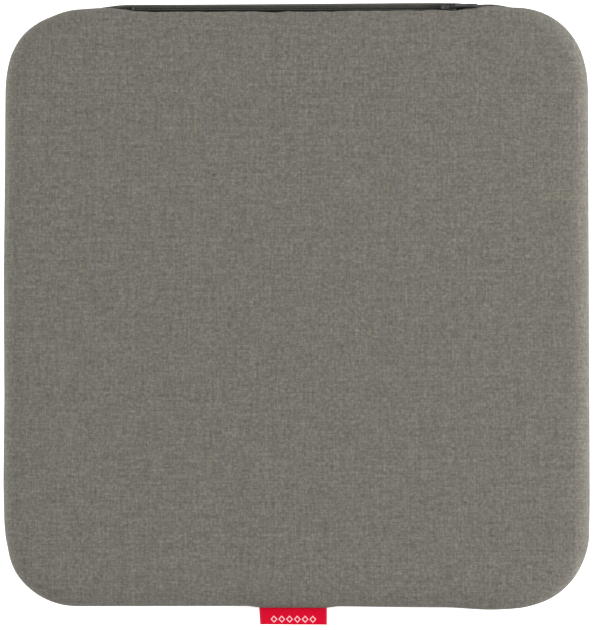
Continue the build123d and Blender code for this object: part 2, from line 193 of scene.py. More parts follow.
SLIDER_REAR, SLIDER_FRONT, SLIDER_HALF = 2.55, 3.0, 3.95
SLIDER_ROUND = 0.8
PLATE_TOP, PLATE_LOW, PLATE = 1.8, -2.2, 0.7
SLIDER_SINK = 0.2        # posts and rails end this far inside the plates
RAIL_PLAN = ((-3.6, 2.55), (-0.6, 2.55), (1.0, 3.0), (3.5, 3.0))
RAIL_WIDE, RAIL_LOW = 0.36, -0.5
POST_X, POST_HALF_LONG, POST_HALF_WIDE = 2.7, 0.95, 0.48
BRIDGE = (
    (-1.75, 0, PLATE_TOP - 0.3), (-1.55, 0, 2.9), (-1.1, 0, 3.45), (0.2, 0, 3.5), (1.5, 0, 3.45),
    (1.95, 0, 2.9), (2.1, 0, PLATE_TOP - 0.3),
)
BRIDGE_SECTION = (
    (0.78, 0.14), (0.55, 0.3), (-0.55, 0.3), (-0.78, 0.14), (-0.78, -0.2), (-0.6, -0.3), (0.6, -0.3), (0.78, -0.2),
)

TAB_LONG, TAB_HALF, TAB_THICK = 14.3, 2.1, 0.66
TAB_SIDE = [(0.0, -1.75), (2.2, -1.8), (4.2, -1.5), (6.5, -1.45), (9.5, -1.6)]
TAB_EYE = [(0.0, 1.05), (2.4, 1.05), (2.75, 0.8), (2.75, -0.8), (2.4, -1.05), (0.0, -1.05)]
TAB_TIP_IN, TAB_TIP_ROUND, TAB_TIP_ANGLE = 1.75, 0.35, 68
TAB_SLOT_R, TAB_SLOT_FAR, TAB_SLOT_NEAR = 0.72, 2.7, 5.2
TAB_RIM_R, TAB_SLOT_RIM_R, TAB_BAR_HALF = 0.46, 0.4, 1.8

CLIP_HALF = 0.8
CLIP_LAYERS = ((-0.75, 0.95, 0.25), (-1.6, -1.25, 0.12))         # (lowest, highest, rounding of edges)
STOP_SPANS = {"top_stops": [(0.7, 2.5), (-2.5, -0.7)], "bottom_stop": [(-2.5, 2.5)]}
TACK_STITCHES, TACK_STEP, TACK_HALF_HIGH = 16, 0.28, 2.1
TACK_LEAN, TACK_HALF_LONG, TACK_OUT = 0.09, 0.6, -0.62
TACK_CORES, TACK_CORE_OUT = (-0.45, 0.0, 0.45), -0.7
TACK_IN = 2

# ---- tag, threads and insert, in millimetres ----
TAG_GAP = 0.30           # half the gap at the folded tip
TAG_PLY_SHARE = 0.55     # each ply's height, of that
TAG_TAIL = 2.8           # from the seam to the cut tails
TAG_ROWS, TAG_TIP_ROWS, TAG_COLUMNS = 22, 9, 48
TAG_OPEN, TAG_OPEN_ROOT = 0.12, 0.05     # how the plies part towards the tip
TAG_CLOTH = 0.28
TAG_CUP, TAG_TWIST, TAG_LEAN, TAG_SKEW = 0.35, 0.15, 0.3, 0.12
THREAD_R, THREAD_SIDES = 0.15, 6
THREAD_TIP = ((-0.7, 0.45), (-0.25, 0.9), (0.25, 1.0))   # (along, radius), in radii
STITCH, STITCH_PITCH = 2.2, 3.0
SEAM_INSET, SEAM_THREAD_Z = 2.7, 1.2
SEAM_STRIDE, SEAM_SHORT, SEAM_REST = 2, 0.12, 0.88
TAG_STITCH_Z, TAG_STITCH_IN, TAG_STITCH_ENDS = 1.25, 3.5, (1.6, 2.5)
ZIP_STITCH_UP, ZIP_STITCH_OUT, ZIP_STITCH_ENDS = 3.35, -1.38, (4, 6)
INSERT_EDGE = 5.6        # from the outline to the insert's cut edge
INSERT_GAP = 0.95        # from the outside of the cover to the insert
INSERT_RELIEF = 1.4      # more than that behind the zip
INSERT_STRIDE = 3
INSERT_UNEVEN = 0.25
# (share of the thickness, how far the soft cut edge draws back there)
THICK_EDGE = ((0.0, 0.5), (0.12, 0.1), (0.35, 0.0), (0.65, 0.0), (0.88, 0.1), (1.0, 0.5))
THIN_EDGE = ((0.0, 0.05), (0.5, 0.0), (1.0, 0.05))
BEVEL_FROM, SHARP_FROM, INSERT_SHARP_FROM = 35, 40, 50   # degrees between faces
PLATE_EDGE, FINE_EDGE = 0.16, 0.1        # how far hard edges are softened


def straight(low, high, x):
    """0 at low, 1 at high, and a straight line between them."""
    return np.clip((x - low) / (high - low), 0.0, 1.0)


def smooth(low, high, x):
    """The same with a smooth rise."""
    t = straight(low, high, x)
    return t * t * (3 - 2 * t)


def profile(x, *knots):
    """A line through the (place, value) knots, with its corners eased."""
    places, values = zip(*knots)
    return sum(np.interp(x + shift, places, values) for shift in (-2.5, -1.5, -0.5, 0.5, 1.5, 2.5)) / 6


def bump(centre, half, x):
    """A smooth rise and fall, 1 at centre and 0 beyond half on each side."""
    return np.where(np.abs(x - centre) < half, np.cos((x - centre) / half * math.pi / 2) ** 2, 0.0)


def ripple(x, seed, *waves):
    """A repeatable uneven wave from -1 to 1; waves are wavelengths in millimetres."""
    total = 0.0
    for k, wave in enumerate(waves):
        total = total + np.sin(x * 2 * math.pi / wave + seed * 2.4 + k * 1.7)
    return total / len(waves)


def zip_point(x, up, out):
    """A place in the zip's plane: along it, up across the chain and out of it."""
    return CHAIN + X_AXIS * x + ZIP_UP * up + ZIP_OUT * out


def set_all(thing, **values):
    """Sets several of a thing's properties."""
    for key, value in values.items():
        setattr(thing, key, value)


# ---------------------------------------------------------------- materials

def grey(value):
    return (value, value, value, 1.0)


def linear(r, g, b):
    """A display colour, 0 to 255, as the shader's linear one."""
    def one(c):
        c = c / 255
        return c / 12.92 if c <= 0.04045 else ((c + 0.055) / 1.055) ** 2.4
    return (one(r), one(g), one(b), 1.0)


class Nodes:
    """A material's node tree, with short calls to add and join nodes."""

    def __init__(self, name):
        self.material = bpy.data.materials.new(name)
        self.material.use_nodes = True
        self.tree = self.material.node_tree
        self.tree.nodes.clear()
        output = self.tree.nodes.new("ShaderNodeOutputMaterial")
        self.shader = self.tree.nodes.new("ShaderNodeBsdfPrincipled")
        self.link(self.shader.outputs["BSDF"], output.inputs["Surface"])

    def add(self, kind, **settings):
        node = self.tree.nodes.new(kind)
        for key, value in settings.items():
            if key in node.inputs:
                node.inputs[key].default_value = value
            else:
                setattr(node, key, value)
        return node

    def link(self, source, target):
        self.tree.links.new(source, target)

    def feed(self, socket, value):
        if isinstance(value, bpy.types.NodeSocket):
            self.link(value, socket)
        else:
            socket.default_value = value

    def math(self, operation, a, b=0.0):
        node = self.add("ShaderNodeMath", operation=operation)
        for socket, value in zip(node.inputs, (a, b)):
            self.feed(socket, value)
        return node.outputs[0]

    def plus(self, a, b):
        return self.math("ADD", a, b)

    def minus(self, a, b):
        return self.math("SUBTRACT", a, b)

    def times(self, a, b):
        return self.math("MULTIPLY", a, b)

    def size(self, a):
        return self.math("ABSOLUTE", a)

    def mix(self, factor, a, b, blend="MIX"):
        node = self.add("ShaderNodeMix", data_type="RGBA", blend_type=blend)
        for key, value in (("Factor", factor), ("A", a), ("B", b)):
            socket = [s for s in node.inputs if s.name == key and s.enabled][0]
            self.feed(socket, value)
        return [s for s in node.outputs if s.enabled][0]

    def ramp(self, value, *stops):
        node = self.add("ShaderNodeValToRGB")
        elements = node.color_ramp.elements
        while len(elements) < len(stops):
            elements.new(0.5)
        for element, (place, colour) in zip(elements, stops):
            element.position = place
            element.color = colour
        self.link(value, node.inputs[0])
        return node.outputs[0]

    def greys(self, value, *stops):
        return self.ramp(value, *((place, grey(level)) for place, level in stops))

    def noise(self, vector, scale, detail=2.0, roughness=0.5):
        node = self.add("ShaderNodeTexNoise", Scale=scale, Detail=detail, Roughness=roughness)
        self.link(vector, node.inputs["Vector"])
        return node.outputs[0]

    def stretched(self, vector, x, y, z=1.0):
        """The vector with its axes scaled, for streaks."""
        node = self.add("ShaderNodeVectorMath", operation="MULTIPLY")
        self.link(vector, node.inputs[0])
        node.inputs[1].default_value = (x, y, z)
        return node.outputs[0]

    def pattern(self, kind, vector, **settings):
        """A texture node's first output, on the vector."""
        node = self.add(kind, **settings)
        self.link(vector, node.inputs["Vector"])
        return node.outputs[0]

    def parts(self, vector):
        node = self.add("ShaderNodeSeparateXYZ")
        self.link(vector, node.inputs[0])
        return node.outputs[0], node.outputs[1]

    def on_cloth(self):
        """Flat cloth coordinates in millimetres, which each cloth mesh carries."""
        return self.add("ShaderNodeAttribute", attribute_name="cloth").outputs["Vector"]

    def on_piece(self):
        """Places on the piece, in millimetres."""
        return self.stretched(self.add("ShaderNodeTexCoord").outputs["Object"], 1 / MM, 1 / MM, 1 / MM)

    def fixed(self, **values):
        """Sets what is the same all over the surface; _ in a name stands for a space."""
        for key, value in values.items():
            self.shader.inputs[key.replace("_", " ")].default_value = value
        return self.material

    def finish(self, colour, relief, rough, **values):
        """Joins the colour, the relief (height, metres, strength) and the roughness to the shader."""
        height, distance, strength = relief
        node = self.add("ShaderNodeBump", Strength=strength, Distance=distance)
        self.link(height, node.inputs["Height"])
        for socket, source in (("Base Color", colour), ("Normal", node.outputs[0]), ("Roughness", rough)):
            self.link(source, self.shader.inputs[socket])
        return self.fixed(**values)


def thread_profile(n, coordinate, pitch):
    """Height across one thread, from 0 at its edge to 1 on its crown."""
    return n.size(n.math("SINE", n.times(coordinate, math.pi / pitch)))


def plain_weave(n, vector, pitch):
    """A plain weave's threads, which wander a little, as (crown, place along the thread, number) for the
    warp and for the weft, and then 1 where the weft is on top."""
    u, v = n.parts(vector)
    sideways = n.noise(n.stretched(vector, 0.5, 0.09), 1.0, 1.0)
    upwards = n.noise(n.stretched(vector, 0.09, 0.5), 1.0, 1.0)
    threads = []
    for axis, wander in ((0, sideways), (1, upwards)):
        across = n.plus((u, v)[axis], n.times(wander, 0.5))
        number = n.math("FLOOR", n.math("DIVIDE", across, pitch))
        along = n.add("ShaderNodeCombineXYZ")
        n.link(n.times(number, pitch), along.inputs[axis])
        n.link((v, u)[axis], along.inputs[1 - axis])
        threads.append((thread_profile(n, across, pitch), along.outputs[0], number))
    warp, weft = threads
    return warp, weft, n.math("FLOORED_MODULO", n.plus(warp[2], weft[2]), 2.0)


def thread_tone(n, number, seed):
    """A tone for each thread, by its number."""
    node = n.add("ShaderNodeTexWhiteNoise", noise_dimensions="1D")
    n.link(n.plus(number, seed), node.inputs["W"])
    return node.outputs["Value"]


SLUB_ACROSS, SLUB_ALONG = 2.1, 0.36      # noise scales along and across the threads, per millimetre
FLECK_SCALE, STREAK_SCALE = 0.62, 0.055
OWN_TONE = 0.07                          # what each thread's own tone adds
YARN_SHARE, FLECK_SHARE, STREAK_SHARE, DRIFT_SHARE = 0.52, 0.27, 0.135, 0.11
TONE_CENTRE = 0.565                      # mean of those, which becomes the middle colour
WARM, COOL = (1.0, 0.985, 0.955, 1.0), (0.985, 1.0, 1.03, 1.0)


def woven_material(name, dark, mid, light, pitch, heather, rough, fuzz):
    """Plain-weave cloth of flecked yarn, with painted shade between the threads. heather is how strongly the
    yarn's tone varies.
    """
    n = Nodes(name)
    vector = n.on_cloth()
    (warp, on_warp, warp_number), (weft, on_weft, weft_number), over = plain_weave(n, vector, pitch)
    under = n.minus(1.0, over)

    def seen(of_warp, of_weft):
        """The value of the thread that is on top."""
        return n.plus(n.times(of_warp, under), n.times(of_weft, over))

    warp_tone = n.plus(n.noise(n.stretched(on_warp, SLUB_ACROSS, SLUB_ALONG), 1.0),
                       n.times(thread_tone(n, warp_number, 7.0), OWN_TONE))
    weft_tone = n.plus(n.noise(n.stretched(on_weft, SLUB_ALONG, SLUB_ACROSS), 1.0),
                       n.times(thread_tone(n, weft_number, 91.0), OWN_TONE))
    fleck = seen(n.noise(on_warp, FLECK_SCALE, 1.0), n.noise(on_weft, FLECK_SCALE, 1.0))
    streak = n.plus(n.noise(n.stretched(on_weft, STREAK_SCALE, 1.0), 1.0, 1.0),
                    n.noise(n.stretched(on_warp, 1.0, STREAK_SCALE), 1.0, 1.0))
    both = n.times(n.plus(warp_tone, weft_tone), 0.5)
    tone = n.plus(n.times(seen(warp_tone, weft_tone), 0.5), n.times(both, 0.5))
    tone = n.plus(n.times(tone, YARN_SHARE), n.times(fleck, FLECK_SHARE))
    tone = n.plus(tone, n.times(streak, STREAK_SHARE))
    drift = n.noise(n.stretched(vector, 1.0, 1.4), 0.16, 2.0, 0.6)
    tone = n.plus(tone, n.times(n.minus(drift, 0.5), DRIFT_SHARE))
    tone = n.plus(n.times(n.minus(tone, TONE_CENTRE), heather), 0.5)
    colour = n.ramp(tone, (0.0, dark), (0.5, mid), (1.0, light))
    tint = n.ramp(n.noise(vector, 0.22, 2.0, 0.6), (0.38, WARM), (0.62, COOL))
    colour = n.mix(1.0, colour, tint, "MULTIPLY")
    crossing = n.plus(n.times(n.times(warp, weft), 0.35), 0.65)
    rise = n.times(seen(warp, weft), crossing)
    # painted shade: the colour darkens from each thread's crown to its edges, where it dips under its neighbours
    painted_weave_shade = n.plus(n.times(rise, 0.30), 0.75)
    colour = n.mix(1.0, colour, n.greys(painted_weave_shade, (0.0, 0.0), (1.0, 1.0)), "MULTIPLY")
    ply = n.noise(n.stretched(vector, 4.0, 4.0), 1.0, 2.0, 0.6)
    height = n.plus(rise, n.times(n.plus(fleck, ply), 0.35))
    return n.finish(
        colour, (height, 0.00014, 0.8), n.greys(fleck, (0.0, rough - 0.1), (1.0, min(1.0, rough + 0.1))),
        Sheen_Weight=fuzz, Sheen_Roughness=0.6, Sheen_Tint=light, Specular_IOR_Level=0.2,
    )


MARK_PITCH, MARK_COUNT, MARK_FROM_TIP = 4.1, 6, 3.0      # the tag's row of lozenges
MARK_WIDE, MARK_HIGH, MARK_RING, MARK_STROKE = 1.9, 2.0, 0.78, 0.17


def ribbon_material():
    """Red satin ribbon, darker along its side edges, with painted shade between its ribs and a row of plain woven
    lozenges.
    """
    n = Nodes("tag_ribbon")
    vector = n.on_cloth()
    u, v = n.parts(vector)
    rib = thread_profile(n, v, 0.28)
    satin = n.noise(n.stretched(vector, 0.5, 6.0), 1.0)
    red = n.ramp(satin, (0.25, linear(166, 0, 28)), (0.75, linear(202, 0, 42)))
    # a darker, bluer red along each side edge
    edge = n.math("GREATER_THAN", n.size(u), TAG_HALF - 1.0)
    red = n.mix(edge, red, linear(172, 22, 52))
    reach = n.math("LESS_THAN", n.size(u), MARK_PITCH * MARK_COUNT / 2)
    cell = n.math("FLOORED_MODULO", n.plus(u, MARK_PITCH * MARK_COUNT / 2), MARK_PITCH)
    sideways = n.size(n.minus(cell, MARK_PITCH / 2))
    upwards = n.size(n.minus(n.size(v), MARK_FROM_TIP))
    lozenge = n.plus(n.math("DIVIDE", sideways, MARK_WIDE), n.math("DIVIDE", upwards, MARK_HIGH))
    stroke = n.math("LESS_THAN", n.size(n.minus(lozenge, MARK_RING)), MARK_STROKE)
    colour = n.mix(n.times(reach, stroke), red, linear(226, 172, 178))
    # painted shade: darker in the grooves between the ribs
    colour = n.mix(1.0, colour, n.greys(rib, (0.0, 0.82), (0.6, 1.0)), "MULTIPLY")
    return n.finish(colour, (rib, 0.00006, 0.5), n.greys(satin, (0.0, 0.7), (1.0, 0.82)),
                    Sheen_Weight=0.02, Specular_IOR_Level=0.06)


def tape_material():
    """Herringbone polyester tape."""
    n = Nodes("zip_textile")
    vector = n.on_cloth()
    u, v = n.parts(vector)
    twill = thread_profile(n, n.plus(u, n.math("PINGPONG", v, 1.6)), 0.5)
    fibre = n.noise(n.stretched(vector, 3.0, 8.0), 1.0, 3.0, 0.6)
    # painted shade: darker in the grooves between the twill's threads and lighter on their crowns, mixed with the
    # fibres' own random tone
    colour = n.ramp(n.plus(n.times(twill, 0.6), n.times(fibre, 0.4)),
                    (0.1, linear(28, 26, 21)), (0.9, linear(59, 55, 47)))
    return n.finish(colour, (twill, 0.00009, 0.8), n.greys(fibre, (0.0, 0.7), (1.0, 0.9)), Specular_IOR_Level=0.2)


def plastic_material(name, low, high, rough):
    """Dull moulded or drawn plastic."""
    n = Nodes(name)
    vector = n.on_piece()
    colour = n.ramp(n.noise(vector, 0.6, 3.0, 0.6), (0.25, low), (0.75, high))
    fine = n.noise(vector, 9.0)
    return n.finish(colour, (fine, 0.00001, 0.4), n.greys(fine, (0.2, rough - 0.07), (0.8, rough + 0.07)),
                    Specular_IOR_Level=0.15)


def enamel_material(name, enamel, bare):
    """Dark enamel on zinc, rubbed to bare metal along the raised edges."""
    n = Nodes(name)
    vector = n.on_piece()
    edge = n.add("ShaderNodeNewGeometry").outputs["Pointiness"]
    scratch = n.noise(n.stretched(vector, 1.2, 6.0, 6.0), 1.0, 4.0, 0.7)
    wear = n.plus(n.times(n.minus(edge, 0.5), 3.0), n.times(scratch, 0.6))
    worn = n.greys(wear, (0.60, 0.0), (0.80, 1.0))
    n.link(n.greys(worn, (0.0, 0.15), (1.0, 0.85)), n.shader.inputs["Metallic"])
    return n.finish(n.mix(worn, enamel, bare), (scratch, 0.00001, 0.3), n.greys(scratch, (0.2, 0.5), (0.8, 0.66)),
                    Specular_IOR_Level=0.3)


def thread_material(name, low, high):
    """Two-ply thread, twisted along its length."""
    n = Nodes(name)
    twist = n.pattern("ShaderNodeTexWave", n.on_piece(), wave_type="BANDS", bands_direction="DIAGONAL",
                      Scale=0.9, Distortion=0.5)
    # painted shade: darker in the grooves between the twisted plies
    return n.finish(n.ramp(twist, (0.1, low), (0.9, high)), (twist, 0.00004, 0.7),
                    n.greys(twist, (0.0, 0.6), (1.0, 0.8)), Sheen_Weight=0.3)


def felt_material(name, low, high, scale):
    """Needled fibres in all directions."""
    n = Nodes(name)
    vector = n.on_piece()
    fibre = n.noise(n.stretched(vector, 1.0, 3.2, 3.2), scale, 5.0, 0.75)
    cross = n.noise(n.stretched(vector, 3.2, 1.0, 3.2), scale, 5.0, 0.75)
    both = n.times(n.plus(fibre, cross), 0.5)
    return n.finish(n.ramp(both, (0.3, low), (0.7, high)), (both, 0.0003, 0.8),
                    n.greys(both, (0.0, 0.85), (1.0, 1.0)), Sheen_Weight=0.4)


def foil_material():
    """Crinkled bright foil."""
    n = Nodes("foil")
    vector = n.on_piece()
    crinkle = n.pattern("ShaderNodeTexVoronoi", vector, feature="DISTANCE_TO_EDGE", Scale=0.12)
    dull = n.noise(vector, 0.2, 3.0)
    return n.finish(n.greys(dull, (0.2, 0.62), (0.8, 0.8)), (crinkle, 0.0004, 0.5),
                    n.greys(dull, (0.0, 0.22), (1.0, 0.38)), Metallic=1.0)


def foam_material():
    """Silicone sponge: fine closed pores."""
    n = Nodes("foam")
    vector = n.on_piece()
    pores = n.pattern("ShaderNodeTexVoronoi", vector, feature="F1", Scale=1.6)
    # painted shade: darker in the hollow of each pore
    colour = n.ramp(pores, (0.0, linear(176, 176, 172)), (0.45, linear(206, 206, 202)))
    return n.finish(colour, (pores, 0.0003, 0.7), n.greys(n.noise(vector, 0.4), (0.0, 0.75), (1.0, 0.95)))


# ---------------------------------------------------------------- mesh helpers

def add_object(name, data):
    """A new object in the scene."""
    made = bpy.data.objects.new(name, data)
    bpy.context.scene.collection.objects.link(made)
    return made


def new_object(name, points, faces, material, cloth=None):
    """A mesh object from points in millimetres; cloth holds their flat cloth coordinates."""
    mesh = bpy.data.meshes.new(name)
    mesh.from_pydata([Vector(p) * MM for p in points], [], faces)
    if cloth is not None:
        layer = mesh.attributes.new("cloth", "FLOAT_VECTOR", "POINT")
        flat = [(c[0], c[1], 0.0) for c in cloth]
        layer.data.foreach_set("vector", np.array(flat, np.float32).ravel())
    mesh.materials.append(material)
    mesh.validate()
    mesh.update()
    mesh.shade_smooth()
    return add_object(name, mesh)


def walls(rows, columns, closed=True):
    """Quads between rows of points; closed joins each row's ends as well."""
    quads = []
    for a in range(0, (rows - 1) * columns, columns):
        b = a + columns
        for c in range(columns if closed else columns - 1):
            d = (c + 1) % columns
            quads.append((a + c, a + d, b + d, b + c))
    return quads


def caps(rows, columns):
    """The end faces of closed walls."""
    last = (rows - 1) * columns
    return [tuple(reversed(range(columns))), tuple(range(last, last + columns))]


def turned_over(quads):
    """The same quads, facing the other way."""
    return [(p, s, r, q) for p, q, r, s in quads]


def evaluated_mesh(piece):
    """A piece's shape, with its modifiers, as a new mesh."""
    graph = bpy.context.evaluated_depsgraph_get()
    return bpy.data.meshes.new_from_object(piece.evaluated_get(graph), depsgraph=graph)


def modify(piece, kind, **settings):
    """Applies a modifier to a piece."""
    set_all(piece.modifiers.new(kind, kind), **settings)
    mesh = evaluated_mesh(piece)
    piece.modifiers.clear()
    piece.data = mesh
    piece.data.shade_smooth()
    return piece


def thicken(piece, thickness, offset):
    """Gives a single surface its thickness: inwards where offset is -1, both ways where it is 0."""
    return modify(piece, "SOLIDIFY", thickness=thickness * MM, offset=offset)


def bevelled(piece, width, segments=3):
    """Softens a hard piece's edges."""
    modify(piece, "BEVEL", width=width * MM, segments=segments, limit_method="ANGLE",
           angle_limit=math.radians(BEVEL_FROM), harden_normals=False)
    piece.data.set_sharp_from_angle(angle=math.radians(SHARP_FROM))
    return piece


def joined(name, pieces):
    """Joins pieces into one object."""
    main = pieces[0]
    with bpy.context.temp_override(active_object=main, selected_editable_objects=pieces):
        bpy.ops.object.join()
    main.name = name
    main.data.name = name
    return main


def fix_normals(piece):
    """Turns every face outwards."""
    work = bmesh.new()
    work.from_mesh(piece.data)
    bmesh.ops.recalc_face_normals(work, faces=work.faces)
    work.to_mesh(piece.data)
    work.free()


# ---------------------------------------------------------------- the cover

def outline_columns():
    """Outline points, outward normals and distances along the outline, from the middle of the front."""
    half_w, half_d = WIDTH / 2, DEPTH / 2
    arms = [
        ((0, -half_d), (1, 0), half_w - CORNER_R, (0, -1)),
        ((half_w, -half_d + CORNER_R), (0, 1), DEPTH - 2 * CORNER_R, (1, 0)),
        ((half_w - CORNER_R, half_d), (-1, 0), WIDTH - 2 * CORNER_R, (0, 1)),
        ((-half_w, half_d - CORNER_R), (0, -1), DEPTH - 2 * CORNER_R, (-1, 0)),
        ((-half_w + CORNER_R, -half_d), (1, 0), half_w - CORNER_R, (0, -1)),
    ]
    points, normals, along = [], [], []
    travelled = 0.0
    for k, (start, way, length, normal) in enumerate(arms):
        count = round(length / COLUMN)
        for i in range(count):
            step = length * i / count
            points.append((start[0] + way[0] * step, start[1] + way[1] * step))
            normals.append(normal)
            along.append(travelled + step)
        travelled += length
        if k == len(arms) - 1:
            break
        count = round(CORNER_R * math.pi / 2 / COLUMN)
        centre_x = start[0] + way[0] * length - normal[0] * CORNER_R
        centre_y = start[1] + way[1] * length - normal[1] * CORNER_R
        first = math.atan2(normal[1], normal[0])
        for i in range(count):
            angle = first + math.pi / 2 * i / count
            nx, ny = math.cos(angle), math.sin(angle)
            points.append((centre_x + nx * CORNER_R, centre_y + ny * CORNER_R))
            normals.append((nx, ny))
            along.append(travelled + CORNER_R * math.pi / 2 * i / count)
        travelled += CORNER_R * math.pi / 2
    return np.array(points), np.array(normals), np.array(along)


OUTLINE, NORMAL, ALONG = outline_columns()
OUTLINE = OUTLINE + NORMAL * profile(ALONG, *SEWN)[:, None]
AT_BACK = NORMAL[:, 1] > 0.999
AT_FRONT = NORMAL[:, 1] < -0.999
COLUMN_X = OUTLINE[:, 0]
LIP_SHARE = np.where(AT_BACK, profile(COLUMN_X, *LIP_OPEN), 0.0)
LOWER_SHARE = np.where(AT_BACK, profile(COLUMN_X, *LOW_LIP_OPEN), 0.0)
GARAGE = np.where(AT_BACK, smooth(*GARAGE_X[:2], COLUMN_X) * (1 - smooth(*GARAGE_X[2:], COLUMN_X)), 0.0)
TAG_SWELL = np.where(
    AT_FRONT, smooth(TAG_HALF + TAG_SWELL_OUT, TAG_HALF - TAG_SWELL_IN, np.abs(COLUMN_X - TAG_X)), 0.0)


def turned_rows(curve, turn):
    """Adds the fold and the turned-in hem to each column's curve of (inwards, height) points.

    curve is (columns, rows, 2). turn is how far the cloth turns, in radians, positive towards the inside."""
    last, before = curve[:, -1], curve[:, -2]
    way = last - before
    way /= np.linalg.norm(way, axis=1)[:, None]
    rows = [curve]
    point, heading = last.copy(), np.arctan2(way[:, 1], way[:, 0])
    step = turn / FOLD_ROWS
    chord = 2 * FOLD_R * np.sin(np.abs(step) / 2)
    for _ in range(FOLD_ROWS):
        heading = heading + step / 2
        point = point + np.stack([np.cos(heading), np.sin(heading)], 1) * chord[:, None]
        heading = heading + step / 2
        rows.append(point[:, None].copy())
    for _ in range(RETURN_ROWS):
        point = point + np.stack([np.cos(heading), np.sin(heading)], 1) * (RETURN_LONG / RETURN_ROWS)
        rows.append(point[:, None].copy())
    return np.concatenate(rows, 1)


def top_sections():
    """Each column's section of the top panel, from the shoulder down to the hem: (columns, rows, 2)."""
    lip_z = LIP_Z - LIP_FALL * smooth(*LIP_FALL_X, COLUMN_X) + LIP_WAVE * ripple(COLUMN_X, 1.0, 61, 34, 19)
    lip_z += LIP_LIFT * bump(*LIP_LIFT_X, COLUMN_X) - LIP_LEFT_DROP * smooth(*LIP_LEFT_X, COLUMN_X)
    end_z = SEAM_Z + SEAM_TURN + LIP_SHARE * (lip_z - SEAM_Z - SEAM_TURN)
    end = np.arcsin((end_z - SEAM_Z) / (THICK - SEAM_Z))
    share = np.linspace(0, 1, ROLL_ROWS + 1)[None]
    angle = math.pi / 2 + (end[:, None] - math.pi / 2) * share
    inwards = ROLL_TOP * (1 - np.cos(angle))
    height = SEAM_Z + (THICK - SEAM_Z) * np.sin(angle)
    swell = np.cos(angle) ** 2
    inwards -= swell * (TOP_GARAGE * GARAGE + TOP_TAG * TAG_SWELL)[:, None]
    inwards += share ** 2 * (LIP_WANDER * LIP_SHARE * ripple(COLUMN_X, 2.0, 27, 15.5, 9.3))[:, None]
    turn = math.radians(TOP_SEAM_TURN) + LIP_SHARE * math.radians(TOP_LIP_TURN)
    return turned_rows(np.stack([inwards, height], 2), turn)


def bottom_sections():
    """Each column's section of the bottom panel, from the foot up to the hem."""
    end = math.acos(SEAM_TURN / SEAM_Z)
    t = np.linspace(0, 1, ROLL_ROWS + 1)[None]
    angle = end * t + np.zeros((len(OUTLINE), 1))
    inwards = ROLL_LOW * (1 - np.sin(angle))
    height = SEAM_Z * (1 - np.cos(angle))
    proud = profile(COLUMN_X, *LOW_LIP_PROUD)
    lip_top = LOW_LIP_Z + LOW_LIP_RISE * smooth(*LOW_LIP_RISE_X, COLUMN_X)
    basis = [(1 - t) ** 3, 3 * t * (1 - t) ** 2, 3 * t * t * (1 - t), t ** 3]
    lip_in = sum(b * c[0] for b, c in zip(basis, LOW_LIP_CURVE)) - basis[3] * proud[:, None]
    lip_z = sum(b * c[1] for b, c in zip(basis, LOW_LIP_CURVE)) + basis[3] * lip_top[:, None]
    low = LOWER_SHARE[:, None]
    inwards = inwards + low * (lip_in - inwards)
    height = height + low * (lip_z - height)
    swell = np.sin(np.linspace(0, math.pi / 2, ROLL_ROWS + 1))[None] ** 2
    inwards -= swell * (LOW_GARAGE * GARAGE + LOW_TAG * TAG_SWELL)[:, None]
    turn = math.radians(LOW_SEAM_TURN) + LOWER_SHARE * math.radians(LOW_LIP_TURN)
    return turned_rows(np.stack([inwards, height], 2), -turn)


def settle(points):
    """The sewn cover's small departures from its pattern, on (n, 3) points in millimetres."""
    moved = points.copy()
    x, y = points[:, 0], points[:, 1]
    moved[:, 0] *= 1 - BACK_NARROW * smooth(*BACK_NARROW_Y, y)
    forward = FRONT_RIGHT * smooth(*FRONT_RIGHT_X, x) + FRONT_CORNER * bump(*FRONT_CORNER_X, x)
    moved[:, 1] -= smooth(*FRONT_SET_Y, y) * forward
    return moved


def face_grid(inset):
    """Grid points inside a panel's flat face, which starts at inset from the outline."""
    half_w = (WIDTH / 2 - inset) - GRID * GRID_EDGE
    half_d = (DEPTH / 2 - inset) - GRID * GRID_EDGE
    radius = CORNER_R - inset
    inside = []
    for i in range(int(2 * half_w / GRID) + 1):
        for j in range(int(2 * half_d / GRID) + 1):
            x = (i - int(half_w / GRID)) * GRID
            y = (j - int(half_d / GRID)) * GRID
            over_x, over_y = abs(x) - (half_w - radius), abs(y) - (half_d - radius)
            if abs(x) > half_w or abs(y) > half_d:
                continue
            if over_x > 0 and over_y > 0 and math.hypot(over_x, over_y) > radius:
                continue
            inside.append(Vector((x, y)))
    return inside


def panel_mesh(name, sections, face_z, material, flip):
    """A panel as one surface: its flat face, then the rolled edge, fold and hem round it."""
    columns, rows = sections.shape[:2]
    inner_loop = OUTLINE - NORMAL * sections[:, 0, 0][:, None]
    points = [(x, y, face_z) for x, y in inner_loop]
    cloth = [tuple(p) for p in inner_loop]
    run = np.zeros(columns)
    for r in range(1, rows):
        run = run + np.linalg.norm(sections[:, r] - sections[:, r - 1], axis=1)
        ring = OUTLINE - NORMAL * sections[:, r, 0][:, None]
        points += [(x, y, z) for (x, y), z in zip(ring, sections[:, r, 1])]
        cloth += [tuple(p) for p in inner_loop + NORMAL * run[:, None]]
    loop = [Vector(p) for p in inner_loop]
    edges = [(c, (c + 1) % columns) for c in range(columns)]
    made = geometry.delaunay_2d_cdt(loop + face_grid(sections[0, 0, 0]), edges, [], 1, 1e-5)
    index = []
    for v, source in zip(made[0], made[3]):
        if source and 0 <= source[0] < columns:
            index.append(source[0])
        else:
            index.append(len(points))
            points.append((v.x, v.y, face_z))
            cloth.append((v.x, v.y))
    faces = turned_over(walls(rows, columns)) + [tuple(index[k] for k in face) for face in made[2]]
    if flip:
        faces = [face[::-1] for face in faces]
    return new_object(name, settle(np.array(points, float)), faces, material, cloth)


def read_points(items, key):
    """A mesh's vertex places or normals, as (n, 3)."""
    values = np.zeros(len(items) * 3)
    items.foreach_get(key, values)
    return values.reshape(-1, 3)


